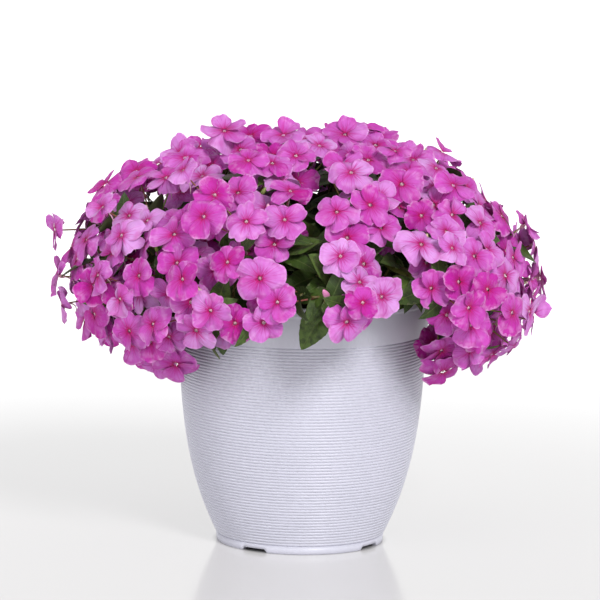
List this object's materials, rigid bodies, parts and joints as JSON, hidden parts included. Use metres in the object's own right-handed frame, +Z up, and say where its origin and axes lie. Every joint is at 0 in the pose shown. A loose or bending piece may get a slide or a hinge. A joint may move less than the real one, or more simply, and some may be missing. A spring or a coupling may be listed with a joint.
{
  "type": "potted busy lizzie",
  "caption": "Busy lizzie in full bloom: a mound of magenta-pink five-petalled flowers over dark green leaves, spilling over the rim of a finely ribbed pale grey plastic pot.",
  "frame": {"origin": "centre of the pot's base, in the plane it stands on", "axes": "+Z up along the pot's axis, -Y towards the front of the picture's view, +X to the right"},
  "size_m": [0.4915, 0.4808, 0.423],
  "materials": {
    "pot": "satin",
    "soil": "matte",
    "leaves": "satin",
    "petals": "matte"
  },
  "bodies": {
    "root": {"bloom_bunch_01": "petals", "bloom_bunch_02": "petals", "bloom_bunch_03": "petals", "bloom_bunch_04": "petals", "bloom_bunch_05": "petals", "bloom_bunch_06": "petals", "bloom_bunch_07": "petals", "bloom_bunch_08": "petals", "bloom_bunch_09": "petals", "bloom_bunch_10": "petals", "bloom_bunch_11": "petals", "bloom_bunch_12": "petals", "bloom_bunch_13": "petals", "bloom_bunch_14": "petals", "bloom_bunch_15": "petals", "bloom_bunch_16": "petals", "bloom_bunch_17": "petals", "bloom_bunch_18": "petals", "bloom_bunch_19": "petals", "bloom_bunch_20": "petals", "bloom_bunch_21": "petals", "bloom_bunch_22": "petals", "bloom_bunch_23": "petals", "bloom_bunch_24": "petals", "bloom_bunch_25": "petals", "bloom_bunch_26": "petals", "bloom_bunch_27": "petals", "bloom_bunch_28": "petals", "bloom_bunch_29": "petals", "bloom_bunch_30": "petals", "bloom_bunch_31": "petals", "bloom_bunch_32": "petals", "bloom_bunch_33": "petals", "bloom_bunch_34": "petals", "bloom_bunch_35": "petals", "leafy_stems_1": "leaves", "leafy_stems_2": "leaves", "leafy_stems_3": "leaves", "leafy_stems_4": "leaves", "leafy_stems_5": "leaves", "leafy_stems_6": "leaves", "leafy_stems_7": "leaves", "pot": "pot", "soil": "soil"}
  },
  "joints": []
}
